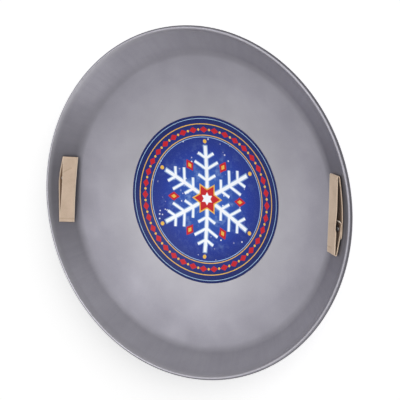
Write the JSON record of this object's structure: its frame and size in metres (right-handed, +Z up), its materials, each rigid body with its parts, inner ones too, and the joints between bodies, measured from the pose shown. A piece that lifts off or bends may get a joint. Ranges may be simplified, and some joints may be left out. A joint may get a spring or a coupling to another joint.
{
  "type": "saucer sled",
  "caption": "Round pressed-steel saucer sled: shallow dish with a rolled rim, a round centre label and a riveted webbing loop handle on each side of the wall.",
  "frame": {"origin": "on the ground under the middle of the dish, with the sled lying flat on its base", "axes": "+Z up along the dish's axis, out of its open side; +X towards the right handle, -X towards the left handle; the webbing runs along Y"},
  "size_m": [0.6598, 0.6598, 0.0931],
  "materials": {
    "sheet_steel": "satin grey, lightly mottled",
    "printed_film": "glossy printed vinyl",
    "cotton_webbing": "undyed woven cotton",
    "rivet_steel": "zinc plated"
  },
  "bodies": {
    "dish": {"saucer_shell": "sheet_steel", "centre_label": "printed_film", "right_handle_rivet": "rivet_steel", "right_handle_washer": "rivet_steel", "left_handle_rivet": "rivet_steel", "left_handle_washer": "rivet_steel"},
    "right_handle": {"right_handle_webbing": "cotton_webbing"},
    "left_handle": {"left_handle_webbing": "cotton_webbing"}
  },
  "joints": [
    {"name": "right_handle_swivel", "type": "hinge", "parent": "dish", "child": "right_handle", "pos_m": [0.30166, -0.0164, 0.06975], "axis": [-0.681, 0.037, 0.7314], "range_deg": [-10, 7.5]},
    {"name": "left_handle_swivel", "type": "hinge", "parent": "dish", "child": "left_handle", "pos_m": [-0.30071, 0.029, 0.06975], "axis": [0.6788, -0.0655, 0.7314], "range_deg": [-10, 7.5]}
  ]
}
